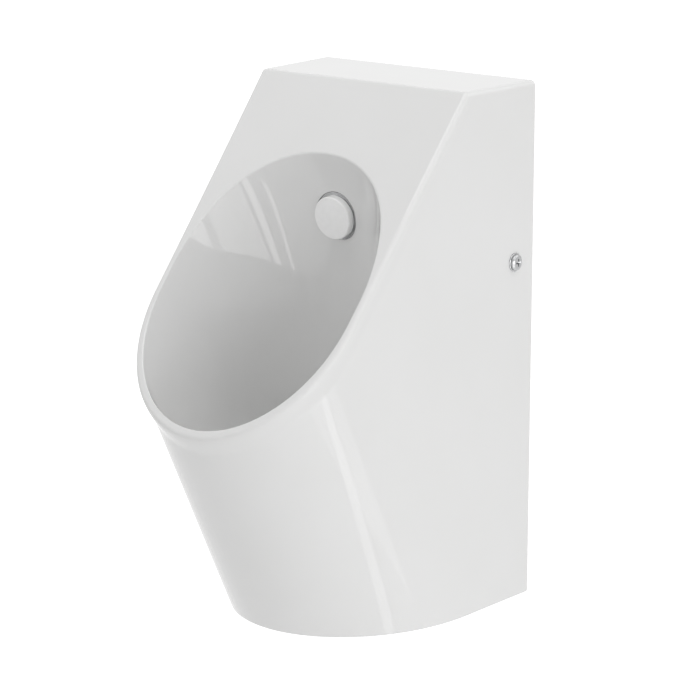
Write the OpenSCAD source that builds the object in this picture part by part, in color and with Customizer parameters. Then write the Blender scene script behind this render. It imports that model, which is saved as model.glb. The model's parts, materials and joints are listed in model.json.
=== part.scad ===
// Wall hung urinal: a tapered ceramic body with a slanted front and an open bowl, hung on two brackets.
// The origin is the centre of the wall fixing holes, in the plane of the wall.
// The front faces -Y, +Z is up, and the plane of the wall is y = 0.
// Depths called f are measured from the wall towards the front, and heights from the foot of the body.

/* [Ceramic body] */
// Width across the back edges
body_w = 300; // [285:5:330]
// Height from the foot to the top face
body_h = 595; // [570:5:625]
// Depth of the flat top face
top_depth = 119; // [108:1:128]
// Angle of the slanted front from the vertical, in degrees
slant_angle = 40.9; // [39.5:0.1:42]
// Angle by which each side narrows towards the front, in degrees
side_taper = 2.24; // [1:0.1:3]
// Depth of the centre of the nose's round at the foot
nose_back = 103.5; // [94:0.5:113]
// Angle by which the nose leans forward, in degrees
nose_lean = 28; // [26:0.1:28.8]
// Length of the nose's round as a share of its half width
nose_long_share = 1.24; // [1.14:0.01:1.3]
// Thickness of the ceramic walls
wall_t = 9; // [8:0.5:10]
// Radius of the upper outer edges
edge_r = 6; // [4:0.5:8]
// Radius of the outer edge of the rim at the nose
rim_r = 3.5; // [2:0.5:4.5]
// Radius along the foot
foot_r = 2; // [1:0.5:4]
// How far the rim stands proud of the nose
rim_flare = 3.8; // [0:0.2:5]
// Height over which the nose swells to the rim
rim_band = 24; // [18:1:60]

/* [Bowl] */
// Thickness of the rim
rim_t = 6; // [5.5:0.1:8]
// Height below the rim over which the wall reaches its full thickness
rim_ease = 60; // [40:5:80]
// Height of the bowl's floor at the waste
floor_h = 155; // [150:1:162]
// Fall of the floor towards the waste
floor_fall = 5; // [2:1:8]
// Drop from the top face to the centre of the spray head
spray_h = 145.5; // [140:0.5:155]
// Depth of the bowl's rear wall at the spray head
rear_f = 162; // [155:1:168]
// Angle of the rear wall and of the spray head, in degrees
rear_lean = 8.1; // [6:0.1:10]
// Drop from the top face to the upper edge of the opening
open_h = 73; // [68:1:80]
// Extra depth of the rear wall at the upper edge of the opening
rear_curl = 9.9; // [6:0.1:12]
// Depth of the bowl's rear round
rear_round = 138; // [125:1:145]
// How far each side wall of the bowl comes in on its way down
bowl_narrow = 35; // [25:1:45]
// Depth below the opening over which it does so
narrow_depth = 270; // [230:10:330]
// Radius of the turn from the walls to the floor
bowl_r = 60; // [45:5:65]
// Share of that turn that the rear wall takes
rear_turn_share = 0.4; // [0.3:0.05:0.5]
// Radius of the inner edge of the rim
lip_r = 1.6; // [1:0.1:2.5]

/* [Wall fixing] */
// Height of the fixing screws above the foot
fix_h = 395; // [380:1:405]
// Depth of the side screws
screw_f = 33.5; // [30:0.5:40]
// Distance between the left and right wall holes
hole_across = 214; // [200:2:220]
// Distance between the upper and lower wall holes
hole_up = 52; // [44:2:60]
// Diameter of the wall holes
wall_hole_d = 11; // [9:0.5:13]
// Thickness of the bracket steel
steel_t = 4; // [3:0.5:5]
// Width of the bracket's wall plate
plate_w = 46; // [40:1:50]
// Height of the bracket's wall plate
plate_h = 80; // [76:2:90]
// Height of the bracket's arm
arm_h = 40; // [32:2:50]
// Length of the bracket's arm from the wall
arm_l = 56; // [52:1:70]
// Diameter of the side screws
screw_d = 8; // [6:1:8]
// Diameter of the side screw's head
head_d = 18.5; // [16:0.5:20]
// Height of the side screw's head
head_h = 4.3; // [3:0.1:5]
// Diameter of the collar under the head
collar_d = 20.5; // [19:0.5:23]
// Height of the collar under the head
collar_h = 1.5; // [1:0.1:2.5]
// Diameter of the bush in the ceramic side
bush_d = 15; // [13:0.5:17]
// Diameter of the bush's inner flange
bush_flange_d = 30; // [26:1:34]
// Thickness of the bush's inner flange
bush_flange_t = 5; // [4:0.5:7]
// Width across the flats of the bracket nut
nut_w = 13; // [13:0.5:15]
// Height of the bracket nut
nut_h = 6.5; // [5:0.5:8]

/* [Spray head] */
// Diameter of the spray cap
cap_d = 49; // [44:1:52]
// How far the front of the cap stands off its flange
cap_out = 9.7; // [9:0.1:12]
// Wall thickness of the cap
cap_t = 2.2; // [1.8:0.1:2.6]
// Open slit between the cap and the flange
cap_slit = 1.4; // [1:0.1:2]
// Diameter of the spray body's flange
spray_flange_d = 55; // [52:1:58]
// Thickness of the spray body's flange
spray_flange_t = 2; // [1.5:0.1:3]
// Diameter of the stub that holds the cap
stub_d = 18; // [16:0.5:20]
// Outer diameter of the threaded tail, a half inch pipe thread
tail_d = 20.96; // [20:0.1:21]
// Bore of the spray body and its tail
spray_bore_d = 13; // [11:0.5:14]
// Length of the tail behind the flange
tail_l = 48; // [44:1:56]
// Diameter of each water port in the stub
port_d = 3.4; // [2.5:0.1:3.6]
// Number of water ports
port_count = 8; // [4:1:10]
// Width across the flats of the lock nut and the union nut
union_w = 30; // [28:0.5:34]
// Height of the lock nut
lock_nut_h = 8; // [6:0.5:10]
// Height of the union nut
union_h = 15; // [13:0.5:18]

/* [Water inlet] */
// Outer diameter of the inlet pipe
inlet_d = 15; // [14:0.5:16]
// Wall thickness of the inlet pipe
inlet_t = 1; // [0.8:0.1:1.5]
// Length of the inlet pipe between its collar and its knuckle
inlet_lead_l = 14; // [8:1:24]
// Length of the nipple's thread beyond the wall
nipple_l = 22; // [18:1:26]
// Length of the nipple's hexagon in front of the wall
nipple_hex_l = 12; // [10:1:16]

/* [Waste] */
// Depth of the waste's axis from the wall
waste_f = 205; // [200:1:212]
// Diameter of the waste flange
flange_d = 70; // [66:1:74]
// Thickness of the waste flange
flange_t = 3; // [2.5:0.5:4]
// Outer diameter of the waste's threaded tail
waste_tail_d = 47.8; // [46:0.1:49]
// Wall thickness of the waste's tail
waste_tail_t = 2.4; // [2:0.1:3]
// Length of the waste's tail below the flange
waste_tail_l = 34; // [30:1:38]
// Thickness of each waste gasket
gasket_t = 2; // [1.5:0.5:3]
// Diameter of the strainer plate
strainer_d = 60; // [56:1:62]
// Thickness of the strainer plate
strainer_t = 1.5; // [1:0.1:2]
// Diameter of each strainer hole
strainer_hole_d = 4.6; // [3:0.1:5]
// Distance between the rings of strainer holes
strainer_pitch = 7.6; // [7:0.1:8]
// Number of rings of strainer holes
strainer_rings = 3; // [2:1:3]

/* [Trap] */
// Outer diameter of the trap body
trap_d = 80; // [76:1:84]
// Wall thickness of the trap body
trap_t = 2.5; // [2:0.1:3.5]
// Gap between the trap body and the foot wall of the ceramic
trap_lift = 4.5; // [3:0.5:6]
// Outer diameter of the outlet pipe
outlet_d = 40; // [36:1:40]
// Wall thickness of the outlet pipe
outlet_t = 2; // [1.5:0.1:3]
// Length of the outlet pipe beyond the wall
outlet_out = 45; // [35:1:60]
// Depth of water that the trap holds over the insert's lower edge
water_seal = 50; // [46:1:50]
// Outer diameter of the trap insert's tube
insert_d = 36; // [34:0.5:38]
// Wall thickness of the trap insert
insert_t = 2; // [1.5:0.1:2.5]
// Outer diameter of the outlet's union nut
outlet_nut_d = 60; // [58:1:66]
// Length of the outlet's union nut
outlet_nut_l = 22; // [20:1:28]

/* [Hidden] */

// Cuts run past a surface by this much
over = 1;
// The loft of the hollow starts this far behind the wall plane
hollow_back = 60;
// The lip's last ring stands this far above the slanted face, so that the two cross cleanly
lip_rise = 0.1;
// Radial gap of a part that slides or turns in another
run_gap = 0.05;
// Gap round a part that only passes through a hole
pass_gap = 2;
// Gap round a flange in its recess
seat_gap = 0.6;
// Gap under a moving part that rests on its seat
rest_gap = 0.2;
// Smoothness of circles
$fn = 64;

// Slopes of the sides, the slanted front and the nose
taper_k = tan(side_taper);
slant_k = tan(slant_angle);
lean_k = tan(nose_lean);
// Height of the spray head's centre
spray_z = body_h - spray_h;
// Angle through which the ridge between the top and the slanted front turns
ridge_turn = 90 - slant_angle;
// Steps of the lofted surfaces
ridge_steps = 4;
nose_steps = 14;
edge_steps = 4;
rear_steps = 10;
front_steps = 12;
turn_steps = 6;
solve_steps = 24;
// Heights of the wall rings between the foot and the swelling of the rim, as shares
wall_shares = [0.25, 0.5, 0.75];
// Heights of the rings within the swelling of the rim, as shares
band_shares = [1, 0.75, 0.5, 0.25];
// Heights of the bowl's rings between its turn and the rim, as shares
bowl_wall_shares = [0.2, 0.4, 0.6, 0.8];
// Largest share of the height between the floor and the rim that the turn takes
turn_share = 0.65;

// Half width of the body at depth f, grown by g
function side_half(f, g) = body_w / 2 + g - f * taper_k;

// Depth of the centre of the nose's round at height z
function nose_centre(z) = nose_back + z * lean_k;

// Length of the nose's round at height z, grown by g
function nose_long(z, g) =
    nose_long_share * side_half(nose_centre(z), 0) / sqrt(1 + pow(taper_k * nose_long_share, 2)) + g;

// Depth of the nose's tip at height z, grown by g
function tip_f(z, g) = nose_centre(z) + nose_long(z, g);

// Half width at depth f and height z: a straight side that runs into the nose's ellipse, grown by g
function half_at(f, z, g) =
    let (centre = nose_centre(z), half = side_half(centre, g), long = nose_long(z, g))
    let (across = sqrt(half * half - pow(taper_k * long, 2)))
    f < centre + taper_k * long * long / half
        ? side_half(f, g)
        : across * sqrt(max(0, 1 - pow((f - centre) / long, 2)));

// A smooth step from 0 to 1
function ease(t) = t <= 0 ? 0 : t >= 1 ? 1 : t * t * (3 - 2 * t);

// The skin of the body is a loft. A column runs up it at the wall, on the ridge or on the nose.
// A column is [kind, value]: kind 0 at the back, 1 at an angle round the ridge, 2 at a share of the nose.
skin_half_columns = concat(
    [[0, 0]],
    [for (i = [0:ridge_steps]) [1, ridge_turn * i / ridge_steps]],
    [for (i = [1:nose_steps]) [2, sin(90 * i / nose_steps)]]
);

// Depth and height of the ridge's round at an angle, for a body grown by g with a ridge of radius r
function ridge_f(angle, g, r) =
    top_depth + g * (1 - sin(slant_angle)) / cos(slant_angle) - r * tan(ridge_turn / 2) + r * sin(angle);
function ridge_h(angle, g, r) = body_h + g - r * (1 - cos(angle));

// Depth of a column at height z. The loft is grown by g, its ring by ring_g
function skin_f(column, z, g, r, ring_g, back) =
    let (ridge_end = ridge_f(ridge_turn, g, r))
    column[0] == 0 ? -back
    : column[0] == 1 ? ridge_f(column[1], g, r)
    : ridge_end + (tip_f(z, g + ring_g) - ridge_end) * column[1];

// Height at which a column meets the roof, lowered square to the roof by e
function skin_roof(column, g, r, ring_g, e) =
    let (share = column[1], ridge_end = ridge_f(ridge_turn, g, r))
    let (tip_foot = tip_f(0, g + ring_g), tip_rise = (tip_f(body_h, 0) - tip_f(0, 0)) / body_h)
    column[0] == 0 ? body_h + g - e
    : column[0] == 1 ? ridge_h(share, g, r) - e / cos(share)
    : (ridge_h(ridge_turn, g, r) - (tip_foot - ridge_end) * share / slant_k - e / sin(slant_angle))
        / (1 + tip_rise * share / slant_k);

// Share of the rim's flare that a column takes, and the radius of its upper edge
function flare_of(column) = column[0] == 2 ? rim_flare * ease(column[1]) : 0;
function edge_of(column) = column[0] == 2 ? edge_r + (rim_r - edge_r) * ease(column[1]) : edge_r;

function skin_point(column, z, g, r, ring_g, back) =
    let (f = skin_f(column, z, g, r, ring_g, back))
    [half_at(f, z, g + ring_g), -f, z];

// Rings from the foot to the roof, each a list of points on the +X side from the back to the tip
function foot_ring(angle, g, r, back) = [for (c = skin_half_columns)
    skin_point(c, -g + foot_r * (1 - cos(angle)), g, r, -foot_r * (1 - sin(angle)), back)];

function wall_ring(share, g, r, back) = [for (c = skin_half_columns)
    let (low = -g + foot_r, high = skin_roof(c, g, r, 0, edge_of(c)) - rim_band)
    skin_point(c, low + (high - low) * share, g, r, 0, back)];

function band_ring(share, g, r, back) = [for (c = skin_half_columns)
    let (swell = flare_of(c) * ease(1 - share))
    let (high = skin_roof(c, g, r, swell, edge_of(c)) - rim_band * share)
    skin_point(c, high, g, r, swell, back)];

function roof_ring(angle, g, r, back) = [for (c = skin_half_columns)
    let (ring_g = flare_of(c) - edge_of(c) * (1 - cos(angle)))
    let (high = skin_roof(c, g, r, ring_g, edge_of(c) * (1 - sin(angle))))
    skin_point(c, high, g, r, ring_g, back)];

function skin_rings(g, r, back) = concat(
    [for (i = [0:edge_steps]) foot_ring(90 * i / edge_steps, g, r, back)],
    [for (s = wall_shares) wall_ring(s, g, r, back)],
    [for (s = band_shares) band_ring(s, g, r, back)],
    [for (i = [0:edge_steps]) roof_ring(90 * i / edge_steps, g, r, back)]
);

// The other half of a ring, in order from the tip back
function mirrored(ring, first, last) = [for (i = [last:-1:first]) [-ring[i][0], ring[i][1], ring[i][2]]];

// Faces from one half of a ring across to the other, from the back to the tip
function rungs(first, half_count) = [for (i = [0:half_count - 2])
    let (a = first + i, b = first + 2 * half_count - 2 - i)
    i == half_count - 2 ? [a, a + 1, b] : [a, a + 1, b - 1, b]];
function turned(face) = [for (i = [len(face) - 1:-1:0]) face[i]];

// A loft of open rings, closed across its back, its foot and its roof
module skin(g, back) {
    rings = skin_rings(g, max(foot_r, edge_r + g), back);
    half_count = len(skin_half_columns);
    count = 2 * half_count - 1;
    last = len(rings) - 1;
    points = [for (ring = rings) each concat(ring, mirrored(ring, 0, half_count - 2))];
    sides = [for (j = [0:last - 1], i = [0:count - 1])
        let (a = j * count + i, b = j * count + (i + 1) % count)
        each [[a, b, b + count], [a, b + count, a + count]]];
    foot = [for (face = rungs(0, half_count)) turned(face)];
    polyhedron(points = points, faces = concat(sides, foot, rungs(last * count, half_count)));
}

// The bowl is a loft of closed rings. Its columns start behind, at the middle of the rear wall.
// A column is [kind, value]: kind 0 at an angle round the rear, 1 at a share of the way to the tip.
bowl_half_columns = concat(
    [for (i = [0:rear_steps]) [0, 90 * i / rear_steps]],
    [for (i = [1:front_steps]) [1, sin(90 * i / front_steps)]]
);

// Height of the rim's inner edge at the tip of the nose
rim_front_h = skin_roof([2, 1], 0, edge_r, -rim_t, 0);

// Thickness of the bowl's wall at height z: the rim is the thinnest
function bowl_wall(z) = wall_t + (rim_t - wall_t) * ease((z - rim_front_h + rim_ease) / rim_ease);

// Depth of the rear wall at height z
function rear_at(z) = rear_f + (z - spray_z) * tan(rear_lean)
    + rear_curl * pow(max(0, (z - spray_z) / (spray_h - open_h)), 2);

// Share of the full width that the bowl keeps at depth f and height z
function narrowed(f, z) =
    1 - bowl_narrow / (body_w / 2) * sin(90 * min(1, max(0, slant_h(f, 0) - z) / narrow_depth));

// A point of the bowl at height z, its wall grown by g and turned in towards the floor by turn
function bowl_point(column, z, g, turn) =
    let (grow = g - turn - bowl_wall(z), rear = rear_at(z) - g + turn * rear_turn_share)
    let (centre = min(rear + rear_round, nose_centre(z)), tip = tip_f(z, grow))
    let (f = column[0] == 0
        ? centre - (centre - rear) * cos(column[1])
        : centre + (tip - centre) * column[1])
    let (x = column[0] == 0 ? half_at(centre, z, grow) * sin(column[1]) : half_at(f, z, grow))
    [x * narrowed(f, z), -f, z];

// Height at which a bowl column meets the slanted front, lowered square to it by e
function slant_h(f, e) = body_h - (f - top_depth) / slant_k - e / sin(slant_angle);
function bowl_roof(column, g, e, low, high, steps) =
    let (mid = (low + high) / 2)
    steps == 0 ? mid
    : slant_h(-bowl_point(column, mid, g, 0)[1], e) > mid
        ? bowl_roof(column, g, e, mid, high, steps - 1)
        : bowl_roof(column, g, e, low, mid, steps - 1);

// Radius of the turn, which a low rim limits, and the height at which the turn starts
turn_r = min(bowl_r, (rim_front_h - floor_h - floor_fall) * turn_share);
turn_h = floor_h + floor_fall + turn_r;
// Radius of the flat land round the waste
land_r = flange_d / 2 + seat_gap + lip_r;

function land_ring(g) = [for (c = bowl_half_columns)
    let (p = bowl_point(c, turn_h - turn_r, 0, turn_r), away = [p[0], p[1] + waste_f])
    [land_r * away[0] / norm(away), -waste_f + land_r * away[1] / norm(away), floor_h - g]];

function turn_ring(angle, g) = [for (c = bowl_half_columns)
    let (z = turn_h - (turn_r + g) * sin(angle), turn = turn_r * (1 - cos(angle)))
    let (p = bowl_point(c, turn_h - turn_r * sin(angle), g * cos(angle), turn))
    [p[0], p[1], z]];

function bowl_wall_ring(share, g) = [for (c = bowl_half_columns)
    let (high = bowl_roof(c, g, lip_r, turn_h, body_h, solve_steps))
    bowl_point(c, turn_h + (high - turn_h) * share, g, 0)];

function lip_ring(angle, g) = [for (c = bowl_half_columns)
    let (grow = g + lip_r * (1 - cos(angle)))
    let (e = lip_r * (1 - sin(angle)) - lip_rise * (1 - cos(angle)))
    bowl_point(c, bowl_roof(c, grow, e, turn_h, body_h, solve_steps), grow, 0)];

function lid_ring(g) = [for (p = lip_ring(90, g)) [p[0], p[1], body_h + wall_t]];

function bowl_rings(g) = concat(
    [land_ring(g)],
    [for (i = [turn_steps:-1:0]) turn_ring(90 * i / turn_steps, g)],
    [for (s = bowl_wall_shares) bowl_wall_ring(s, g)],
    [for (i = [0:edge_steps]) lip_ring(90 * i / edge_steps, g)],
    [lid_ring(g)]
);

module bowl(g) {
    rings = bowl_rings(g);
    half_count = len(bowl_half_columns);
    count = 2 * half_count - 2;
    last = len(rings) - 1;
    points = [for (ring = rings) each concat(ring, mirrored(ring, 1, half_count - 2))];
    sides = [for (j = [0:last - 1], i = [0:count - 1])
        let (a = j * count + i, b = j * count + (i + 1) % count)
        each [[a, b, b + count], [a, b + count, a + count]]];
    ends = [[for (i = [count - 1:-1:0]) i], [for (i = [0:count - 1]) last * count + i]];
    polyhedron(points = points, faces = concat(sides, ends));
}

// Places along the waste and the trap, all as heights above the foot
flange_proud = 1;
seat_h = floor_h - gasket_t - flange_t + flange_proud;
// Thickness of the ceramic under the waste
waste_boss_t = 16;
boss_h = floor_h - waste_boss_t;
trap_top_h = boss_h - gasket_t;
tail_low_h = seat_h + gasket_t - waste_tail_l;
// Ledge in the tail that carries the trap insert
ledge_t = 3;
// Height of the outlet's axis
trap_cover_t = 4;
branch_wall = 3;
branch_r = outlet_d / 2 + run_gap + branch_wall;
outlet_h = trap_top_h - trap_cover_t - branch_r - trap_t;
trap_low_h = wall_t + trap_lift;
// Height of the insert's lower edge, which stays clear of the trap's floor
insert_gap = 12;
insert_low_h = max(outlet_h - outlet_d / 2 + outlet_t - water_seal, trap_low_h + trap_t + insert_gap);
// Length of the branch behind the trap body, and of the pipe held inside it
branch_l = 27;
socket_l = 16;
branch_end_f = waste_f - trap_d / 2 - branch_l;
outlet_seal_t = 4;
// Ring on the outlet pipe that stops it at the wall
bead_l = 3;
bead_h = 2;
insert_rim_t = 3;
insert_neck_l = 10;
// Rise of the strainer's middle, and the flat border round it
strainer_rise = 1.5;
strainer_flat = 6;
// Finger grooves round the outlet's union nut: how many, their radius and how far out they are centred
grip_count = 8;
grip_r = 5.5;
grip_out = 4;

// Places along the spray head's axis, forward from the bowl's rear wall
spray_sink = 1;
spray_gasket_t = spray_sink;
spray_boss_d = 44;
spray_boss_t = 12;
spray_washer_t = 2;
spray_washer_d = 38;
stub_end = spray_flange_t + cap_out - cap_t - rest_gap;
stub_lid_t = 1.5;
sleeve_l = 3.5;
sleeve_t = 1.8;
cap_edge_r = 2;
cap_skirt_r = 0.8;
inlet_seal_t = 2;
pipe_collar_t = 1.8;
union_lip_t = 2;
// The inlet pipe runs this far behind the bowl's rear wall before it turns level
inlet_lead = tail_l + inlet_seal_t + inlet_lead_l;
inlet_f = rear_f - inlet_lead * cos(rear_lean);
inlet_h = spray_z + inlet_lead * sin(rear_lean);

// Places along a side screw's axis, outward from the middle of the body
spot_x = side_half(screw_f + collar_d / 2 + seat_gap, 0);
bush_x = side_half(screw_f + bush_flange_d / 2, -wall_t);
arm_x = bush_x - bush_flange_t;
nut_x = arm_x - steel_t;
screw_tip_l = 3;
screw_x = nut_x - nut_h - screw_tip_l;
bend_r = 6;
arm_nose_r = 6;
// The bracket's plate reaches past its arm and past its wall holes
hole_edge = 4;
plate_out = max(arm_x, hole_across / 2 + wall_hole_d / 2 + hole_edge);
plate_in = min(arm_x - plate_w, hole_across / 2 - wall_hole_d / 2 - hole_edge);
// Width, length and depth of the screw's cross recess
recess_w = 2;
recess_l = 9.5;
recess_h = 2.6;
// Rounding of the screw's head
head_edge_r = 1.4;

// Points along an arc about a centre, for profiles
arc_steps = 5;
function arc(centre, r, from, to) = [for (i = [0:arc_steps])
    let (angle = from + (to - from) * i / arc_steps)
    [centre[0] + r * cos(angle), centre[1] + r * sin(angle)]];

module from_foot() {
    translate([0, 0, -fix_h]) children();
}

// A ring from radius inner to radius outer
module ring(inner, outer, h) {
    difference() {
        cylinder(r = outer, h = h);
        translate([0, 0, -over]) cylinder(r = inner, h = h + 2 * over);
    }
}

// A hexagon nut with bevelled corners and a bore
module hex_nut(w, h, bore_r) {
    corner_r = w / sqrt(3);
    bevel = corner_r - w / 2;
    difference() {
        intersection() {
            cylinder(r = corner_r, h = h, $fn = 6);
            rotate_extrude() polygon([
                [0, 0], [w / 2, 0], [corner_r, bevel / 2],
                [corner_r, h - bevel / 2], [w / 2, h], [0, h]
            ]);
        }
        translate([0, 0, -over]) cylinder(r = bore_r, h = h + 2 * over);
    }
}

// Frames whose +Z points forward out of the bowl's rear wall, up the waste, back through the wall,
// and out of one side
module at_spray() {
    translate([0, -rear_f, spray_z - fix_h]) rotate([90 + rear_lean, 0, 0]) children();
}

module at_waste(h) {
    translate([0, -waste_f, h - fix_h]) children();
}

module at_wall(f, h) {
    translate([0, -f, h - fix_h]) rotate([-90, 0, 0]) children();
}

module at_side(x, side) {
    mirror([side < 0 ? 1 : 0, 0, 0]) translate([x, -screw_f, 0]) rotate([0, 90, 0]) children();
}

module ceramic_body() {
    color("white") difference() {
        union() {
            from_foot() difference() {
                skin(0, 0);
                difference() {
                    skin(-wall_t, hollow_back);
                    bowl(wall_t);
                }
            }
            at_spray() translate([0, 0, -spray_boss_t])
                cylinder(d = spray_boss_d, h = spray_boss_t - wall_t / 2);
            at_waste(boss_h) cylinder(d = trap_d, h = waste_boss_t - wall_t / 2);
        }
        from_foot() bowl(0);
        at_spray() translate([0, 0, -spray_sink])
            cylinder(d = spray_flange_d + 2 * seat_gap, h = spray_boss_t);
        at_spray() translate([0, 0, -spray_boss_t - over])
            cylinder(d = tail_d + pass_gap, h = spray_boss_t + over);
        at_waste(seat_h) cylinder(d = flange_d + 2 * seat_gap, h = floor_h - seat_h + over);
        at_waste(boss_h - over) cylinder(d = waste_tail_d + 2 * pass_gap, h = waste_boss_t + over);
        for (side = [-1, 1]) {
            at_side(bush_x - over, side) cylinder(r = bush_d / 2 + run_gap, h = body_w / 2);
            at_side(spot_x, side) cylinder(d = collar_d + 2 * seat_gap, h = body_w / 2);
        }
    }
}

// The cap clips onto the stub and leaves an open slit for the water behind its skirt
module spray_cap() {
    front = spray_flange_t + cap_out;
    back = spray_flange_t + cap_slit;
    inside = front - cap_t;
    sleeve_r = stub_d / 2 + run_gap;
    skirt_out = cap_d / 2;
    skirt_in = skirt_out - cap_t;
    color("white") at_spray() rotate_extrude() polygon(concat(
        [[0, front]],
        arc([skirt_out - cap_edge_r, front - cap_edge_r], cap_edge_r, 90, 0),
        [[skirt_out, back + cap_skirt_r], [skirt_out - cap_skirt_r, back],
            [skirt_in, back], [skirt_in, inside], [sleeve_r + sleeve_t, inside], [sleeve_r + sleeve_t, inside - sleeve_l],
            [sleeve_r, inside - sleeve_l], [sleeve_r, inside], [0, inside]]
    ));
}

// A flange in front of the wall, a stub with radial ports for the cap and a threaded tail behind
module spray_body() {
    color("silver") at_spray() difference() {
        union() {
            cylinder(d = spray_flange_d, h = spray_flange_t);
            cylinder(d = stub_d, h = stub_end);
            translate([0, 0, -tail_l]) cylinder(d = tail_d, h = tail_l);
        }
        translate([0, 0, -tail_l - over])
            cylinder(d = spray_bore_d, h = tail_l + over + stub_end - stub_lid_t);
        for (i = [0:port_count - 1])
            rotate([0, 90, 360 * i / port_count])
                translate([-spray_flange_t - port_d / 2, 0, 0]) cylinder(d = port_d, h = stub_d);
    }
}

module spray_gasket() {
    color("dimgray") at_spray() translate([0, 0, -spray_sink])
        ring(tail_d / 2 + run_gap, spray_flange_d / 2 - seat_gap, spray_gasket_t);
}

module spray_washer() {
    color("dimgray") at_spray() translate([0, 0, -spray_boss_t - spray_washer_t])
        ring(tail_d / 2 + run_gap, spray_washer_d / 2, spray_washer_t);
}

module spray_lock_nut() {
    color("goldenrod") at_spray() translate([0, 0, -spray_boss_t - spray_washer_t - lock_nut_h])
        hex_nut(union_w, lock_nut_h, tail_d / 2 + run_gap);
}

module inlet_seal() {
    color("firebrick") at_spray() translate([0, 0, -tail_l - inlet_seal_t])
        ring(spray_bore_d / 2, tail_d / 2, inlet_seal_t);
}

// The union nut pulls the inlet pipe's collar onto the tail's end
module inlet_union_nut() {
    back = tail_l + inlet_seal_t + pipe_collar_t + union_lip_t;
    color("goldenrod") at_spray() translate([0, 0, -back]) difference() {
        hex_nut(union_w, union_h, inlet_d / 2 + run_gap);
        translate([0, 0, union_lip_t]) cylinder(r = tail_d / 2 + run_gap, h = union_h);
    }
}

// The inlet pipe leaves along the spray head's axis and turns level in a round knuckle
module inlet_pipe() {
    color("silver") difference() {
        union() {
            inlet_run(inlet_d / 2, inlet_d / 2 + 2 * inlet_t, 0);
            at_spray() translate([0, 0, -tail_l - inlet_seal_t - pipe_collar_t])
                cylinder(r = tail_d / 2 - run_gap, h = pipe_collar_t);
        }
        inlet_run(inlet_d / 2 - inlet_t, inlet_d / 2, over);
    }
}

// Both straight lengths of the inlet pipe start at the knuckle and reach past their ends by extra
module inlet_run(r, knuckle_r, extra) {
    at_spray() translate([0, 0, -inlet_lead]) cylinder(r = r, h = inlet_lead_l + extra);
    at_wall(inlet_f, inlet_h) cylinder(r = r, h = inlet_f + extra);
    at_wall(inlet_f, inlet_h) sphere(r = knuckle_r);
}

// The pipe ends in a nipple that screws into the fitting in the wall
module wall_nipple() {
    color("silver") at_wall(nipple_hex_l, inlet_h) {
        hex_nut(union_w, nipple_hex_l, inlet_d / 2 + run_gap);
        translate([0, 0, nipple_hex_l]) ring(spray_bore_d / 2, tail_d / 2, nipple_l);
    }
}

// A gently domed plate with rings of holes
module strainer() {
    middle = seat_h + gasket_t + flange_t;
    edge = strainer_d / 2;
    dome_r = edge - strainer_flat;
    color("silver") at_waste(middle - strainer_t) translate([0, 0, rest_gap]) difference() {
        rotate_extrude() polygon([[0, strainer_rise], [dome_r, 0], [edge, 0], [edge, strainer_t],
            [dome_r, strainer_t], [0, strainer_rise + strainer_t]]);
        translate([0, 0, -over]) cylinder(d = strainer_hole_d, h = strainer_t + strainer_rise + 2 * over);
        for (row = [1:strainer_rings], i = [0:6 * row - 1])
            rotate([0, 0, 60 * i / row]) translate([row * strainer_pitch, 0, -over])
                cylinder(d = strainer_hole_d, h = strainer_t + strainer_rise + 2 * over);
    }
}

// The flange seats in the bowl's floor, and its tail screws into the trap and carries the insert
module waste_flange() {
    bore_r = waste_tail_d / 2 - waste_tail_t;
    color("silver") at_waste(seat_h + gasket_t) difference() {
        union() {
            cylinder(d = flange_d, h = flange_t);
            translate([0, 0, -waste_tail_l]) cylinder(d = waste_tail_d, h = waste_tail_l);
        }
        translate([0, 0, flange_t - strainer_t]) cylinder(d = strainer_d + seat_gap, h = flange_t);
        translate([0, 0, ledge_t - waste_tail_l]) cylinder(r = bore_r, h = waste_tail_l + flange_t);
        translate([0, 0, -waste_tail_l - over]) cylinder(r = insert_d / 2 + run_gap, h = waste_tail_l);
    }
}

module waste_gasket() {
    color("dimgray") at_waste(seat_h) ring(waste_tail_d / 2 + run_gap, flange_d / 2 - seat_gap, gasket_t);
}

// The insert hangs on the ledge in the tail and dips into the water
module trap_insert() {
    bore_r = waste_tail_d / 2 - waste_tail_t;
    rim_h = tail_low_h + ledge_t + rest_gap;
    top_h = rim_h + insert_rim_t + insert_neck_l;
    color("white") difference() {
        union() {
            at_waste(insert_low_h) cylinder(d = insert_d, h = top_h - insert_low_h);
            at_waste(rim_h) cylinder(r = bore_r - run_gap, h = insert_rim_t);
        }
        at_waste(insert_low_h - over)
            cylinder(r = insert_d / 2 - insert_t, h = top_h - insert_low_h + 2 * over);
    }
}

// The sealing ring lies on the insert's rim
module insert_ring() {
    bore_r = waste_tail_d / 2 - waste_tail_t;
    section_r = (bore_r - insert_d / 2) / 2 - run_gap;
    color("dimgray") at_waste(tail_low_h + ledge_t + rest_gap + insert_rim_t + section_r + run_gap)
        rotate_extrude() translate([(bore_r + insert_d / 2) / 2, 0]) circle(r = section_r);
}

module trap_top_gasket() {
    color("dimgray") at_waste(trap_top_h)
        ring(waste_tail_d / 2 + pass_gap, trap_d / 2 - seat_gap, gasket_t);
}

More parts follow.
